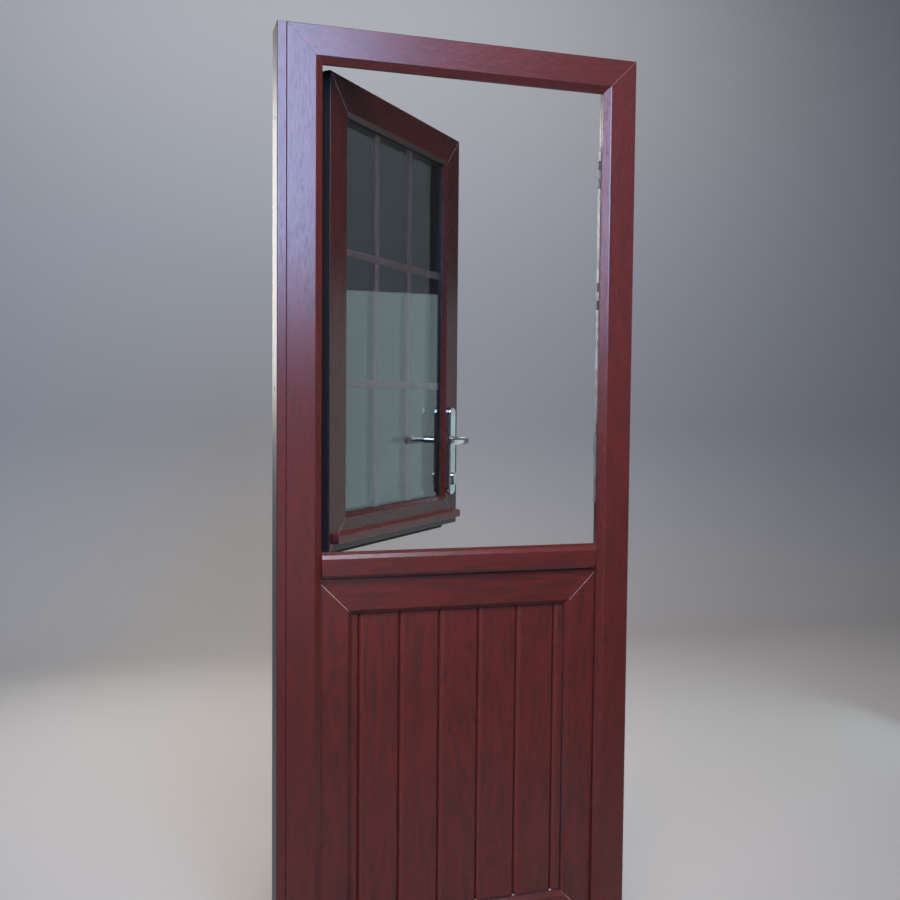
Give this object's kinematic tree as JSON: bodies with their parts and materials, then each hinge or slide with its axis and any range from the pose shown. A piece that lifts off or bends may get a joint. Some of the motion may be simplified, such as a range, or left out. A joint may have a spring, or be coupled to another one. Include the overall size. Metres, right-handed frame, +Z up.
{
  "type": "stable door",
  "caption": "Stable door in its frame: a glazed upper leaf standing open and a boarded lower leaf shut, hung on flag hinges, with lever handles.",
  "frame": {"origin": "on the underside of the frame's sill, at the middle of the main frame's width and depth", "axes": "+X to the right seen from outside, +Y into the house, +Z up"},
  "size_m": [0.78, 0.5945, 1.982],
  "materials": {
    "foil": "dark reddish brown wood-grain foil",
    "steel": "zinc-plated steel",
    "seal": "black elastomer seal",
    "glass": "clear float glass",
    "bar_finish": "brown glazing bars",
    "spacer": "dark warm-edge spacer",
    "chrome": "polished chrome plate"
  },
  "bodies": {
    "frame": {"outer_frame": "foil", "extension_strip": "foil", "hinge_jamb_steel": "steel", "lock_jamb_steel": "steel", "frame_gasket": "seal", "upper_keep_rail": "steel", "lower_keep_rail": "steel", "frame_screws": "steel", "upper_leaf_top_hinge_flag": "foil", "upper_leaf_bottom_hinge_flag": "foil", "lower_leaf_top_hinge_flag": "foil", "lower_leaf_bottom_hinge_flag": "foil", "upper_leaf_top_hinge_pin": "steel", "upper_leaf_bottom_hinge_pin": "steel", "lower_leaf_top_hinge_pin": "steel", "lower_leaf_bottom_hinge_pin": "steel"},
    "lower_leaf": {"lower_sash": "foil", "grooved_panel": "foil", "lower_glazing_gasket": "seal", "lower_bottom_bead": "foil", "lower_top_bead": "foil", "lower_left_bead": "foil", "lower_right_bead": "foil", "lower_leaf_seal": "seal", "top_bar": "foil", "lower_top_leaf_flag": "foil", "lower_bottom_leaf_flag": "foil", "lower_leaf_screws": "steel", "lower_faceplate": "steel", "lower_lock_case": "steel", "lower_handle_base": "chrome"},
    "lower_cams": {"lower_cam_bar": "steel"},
    "lower_handle": {"lower_handle": "chrome"},
    "upper_leaf": {"upper_sash": "foil", "outer_pane": "glass", "inner_pane": "glass", "spacer_frame": "spacer", "glazing_bars": "bar_finish", "upper_glazing_gasket": "seal", "upper_bottom_bead": "foil", "upper_top_bead": "foil", "upper_left_bead": "foil", "upper_right_bead": "foil", "upper_leaf_seal": "seal", "weather_bar": "foil", "upper_top_leaf_flag": "foil", "upper_bottom_leaf_flag": "foil", "upper_leaf_screws": "steel", "upper_faceplate": "steel", "upper_lock_case": "steel", "outside_backplate": "chrome", "inside_backplate": "chrome", "handle_screws": "steel", "key_cylinder": "chrome"},
    "lever": {"outside_lever": "chrome", "inside_lever": "chrome", "spindle": "steel"},
    "latch": {"latch_bolt": "steel"},
    "upper_cams": {"upper_cam_bar": "steel"},
    "key_plug": {"key_plug": "chrome"}
  },
  "joints": [
    {"name": "upper_leaf_swing", "type": "hinge", "parent": "frame", "child": "upper_leaf", "pos_m": [-0.3495, 0.046, 1.4], "axis": [0, 0, 1], "range_deg": [-47.8, 52]},
    {"name": "lower_leaf_swing", "type": "hinge", "parent": "frame", "child": "lower_leaf", "pos_m": [-0.3495, 0.046, 0.46], "axis": [0, 0, 1], "range_deg": [0, 47.5]},
    {"name": "lever_turn", "type": "hinge", "parent": "upper_leaf", "child": "lever", "pos_m": [0.08623, 0.48783, 1.136], "axis": [0.7408, -0.6717, 0], "range_deg": [0, 35], "stiffness_Nm_per_rad": 3, "springref_deg": -17.19},
    {"name": "latch_slide", "type": "slide", "parent": "upper_leaf", "child": "latch", "axis": [0.6717, 0.7408, 0], "range_m": [0, 0.01]},
    {"name": "upper_cam_slide", "type": "slide", "parent": "upper_leaf", "child": "upper_cams", "axis": [0, 0, 1], "range_m": [0, 0.018]},
    {"name": "key_turn", "type": "hinge", "parent": "upper_leaf", "child": "key_plug", "pos_m": [0.10475, 0.47104, 1.044], "axis": [-0.7408, 0.6717, 0], "continuous": true},
    {"name": "lower_handle_turn", "type": "hinge", "parent": "lower_leaf", "child": "lower_handle", "pos_m": [0.2935, 0.055, 0.64], "axis": [0, -1, 0], "range_deg": [0, 90]},
    {"name": "lower_cam_slide", "type": "slide", "parent": "lower_leaf", "child": "lower_cams", "axis": [0, 0, 1], "range_m": [0, 0.0181]}
  ],
  "couplings": [
    {"joint": "lower_cam_slide", "follows": "lower_handle_turn", "m_per_rad": 0.01145}
  ]
}
